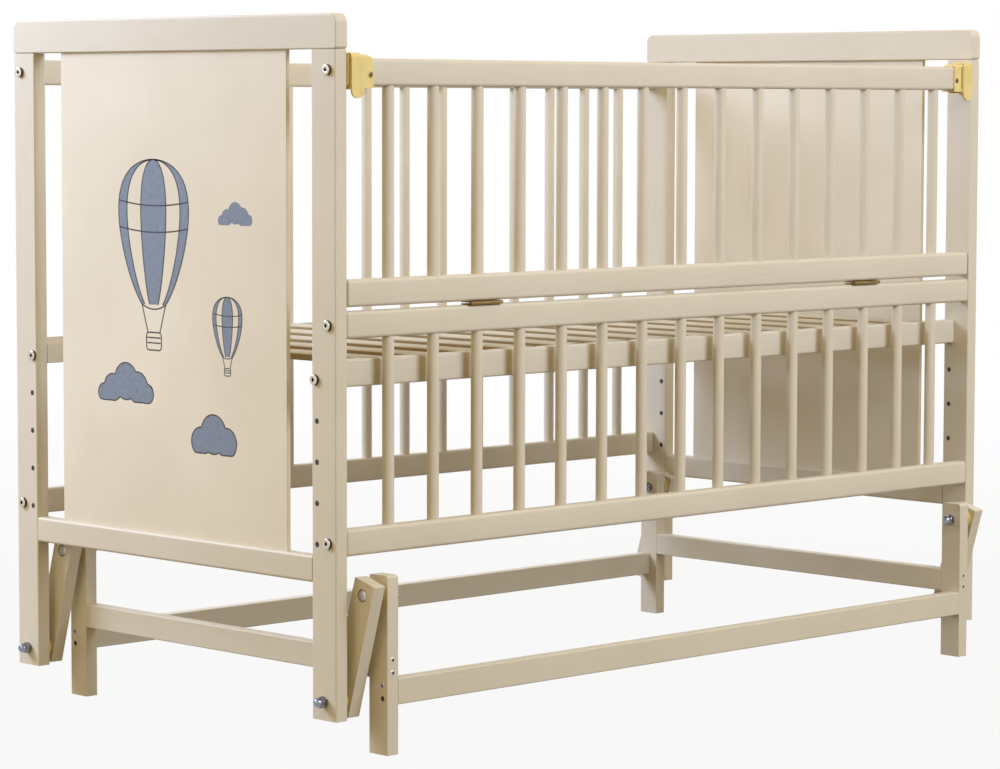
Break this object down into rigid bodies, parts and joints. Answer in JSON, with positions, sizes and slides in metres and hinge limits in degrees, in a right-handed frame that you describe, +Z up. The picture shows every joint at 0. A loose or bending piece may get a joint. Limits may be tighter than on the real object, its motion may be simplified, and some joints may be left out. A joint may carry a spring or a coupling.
{
  "type": "crib on a swinging base",
  "caption": "Wooden baby crib with barred sides and a fold-down front gate, hung on parallel links in a low swing base, with a slatted mattress base.",
  "frame": {"origin": "on the floor under the middle of the whole crib and base", "axes": "+X along the crib from headboard to footboard, +Y from the gate to the rear side, +Z up"},
  "size_m": [1.2786, 0.6806, 0.9041],
  "materials": {
    "ivory_wood": "ivory satin paint on hardwood and board",
    "yellow_plastic": "moulded yellow plastic",
    "brass_hinge": "brass-plated steel",
    "zinc_steel": "bright zinc plate"
  },
  "bodies": {
    "base": {"left_cross_rail": "ivory_wood", "right_cross_rail": "ivory_wood", "front_long_rail": "ivory_wood", "rear_long_rail": "ivory_wood", "front_left_leg": "ivory_wood", "front_left_upper_bolt": "zinc_steel", "front_left_upper_spacer": "yellow_plastic", "front_right_leg": "ivory_wood", "front_right_upper_bolt": "zinc_steel", "front_right_upper_spacer": "yellow_plastic", "rear_left_leg": "ivory_wood", "rear_left_upper_bolt": "zinc_steel", "rear_left_upper_spacer": "yellow_plastic", "rear_right_leg": "ivory_wood", "rear_right_upper_bolt": "zinc_steel", "rear_right_upper_spacer": "yellow_plastic"},
    "link_fl": {"front_left_link": "ivory_wood"},
    "link_fr": {"front_right_link": "ivory_wood"},
    "link_rl": {"rear_left_link": "ivory_wood"},
    "link_rr": {"rear_right_link": "ivory_wood"},
    "crib": {"headboard_top_board": "ivory_wood", "headboard_bottom_rail": "ivory_wood", "headboard_panel": "ivory_wood", "headboard_front_post": "ivory_wood", "headboard_rear_post": "ivory_wood", "footboard_top_board": "ivory_wood", "footboard_bottom_rail": "ivory_wood", "footboard_panel": "ivory_wood", "footboard_front_post": "ivory_wood", "footboard_rear_post": "ivory_wood", "rear_side_low_rail_and_bars": "ivory_wood", "rear_side_top_rail": "ivory_wood", "front_side_low_rail_and_bars": "ivory_wood", "front_side_top_rail": "ivory_wood", "mattress_base_front_rail_and_slats": "ivory_wood", "mattress_base_rear_rail": "ivory_wood", "left_hinge_lower_leaf": "brass_hinge", "left_hinge_pin": "brass_hinge", "right_hinge_lower_leaf": "brass_hinge", "right_hinge_pin": "brass_hinge", "left_latch_keeper": "yellow_plastic", "right_latch_keeper": "yellow_plastic", "front_left_lower_bolt": "zinc_steel", "front_left_lower_spacer": "yellow_plastic", "front_right_lower_bolt": "zinc_steel", "front_right_lower_spacer": "yellow_plastic", "rear_left_lower_bolt": "zinc_steel", "rear_left_lower_spacer": "yellow_plastic", "rear_right_lower_bolt": "zinc_steel", "rear_right_lower_spacer": "yellow_plastic"},
    "gate": {"gate_low_rail_and_bars": "ivory_wood", "gate_top_rail": "ivory_wood", "left_hinge_upper_leaf": "brass_hinge", "right_hinge_upper_leaf": "brass_hinge", "left_latch_housing": "yellow_plastic", "right_latch_housing": "yellow_plastic", "left_latch_spring": "zinc_steel", "right_latch_spring": "zinc_steel"},
    "latch_left": {"left_latch_slider": "yellow_plastic"},
    "latch_right": {"right_latch_slider": "yellow_plastic"}
  },
  "joints": [
    {"name": "swing", "type": "hinge", "parent": "base", "child": "link_fl", "pos_m": [-0.587, -0.31843, 0.1985], "axis": [1, 0, 0], "range_deg": [-40, 8]},
    {"name": "swing_link_fr", "type": "hinge", "parent": "base", "child": "link_fr", "pos_m": [0.587, -0.31843, 0.1985], "axis": [1, 0, 0], "range_deg": [-40, 8]},
    {"name": "swing_link_rl", "type": "hinge", "parent": "base", "child": "link_rl", "pos_m": [-0.587, 0.27957, 0.1985], "axis": [1, 0, 0], "range_deg": [-40, 8]},
    {"name": "swing_link_rr", "type": "hinge", "parent": "base", "child": "link_rr", "pos_m": [0.587, 0.27957, 0.1985], "axis": [1, 0, 0], "range_deg": [-40, 8]},
    {"name": "crib_level", "type": "hinge", "parent": "link_fl", "child": "crib", "pos_m": [-0.587, -0.28067, 0.06681], "axis": [1, 0, 0], "range_deg": [-8, 40]},
    {"name": "gate_fold", "type": "hinge", "parent": "crib", "child": "gate", "pos_m": [0, -0.30467, 0.54691], "axis": [1, 0, 0], "range_deg": [0, 175]},
    {"name": "latch_left_slide", "type": "slide", "parent": "gate", "child": "latch_left", "axis": [1, 0, 0], "range_m": [-0.0016, 0.0065], "stiffness_N_per_m": 500, "springref_m": -0.006, "deforming": ["left_latch_spring"]},
    {"name": "latch_right_slide", "type": "slide", "parent": "gate", "child": "latch_right", "axis": [-1, 0, 0], "range_m": [-0.0016, 0.0065], "stiffness_N_per_m": 500, "springref_m": -0.006, "deforming": ["right_latch_spring"]}
  ],
  "couplings": [
    {"joint": "swing_link_fr", "follows": "swing", "ratio": 1},
    {"joint": "swing_link_rl", "follows": "swing", "ratio": 1},
    {"joint": "swing_link_rr", "follows": "swing", "ratio": 1},
    {"joint": "crib_level", "follows": "swing", "ratio": -1}
  ]
}
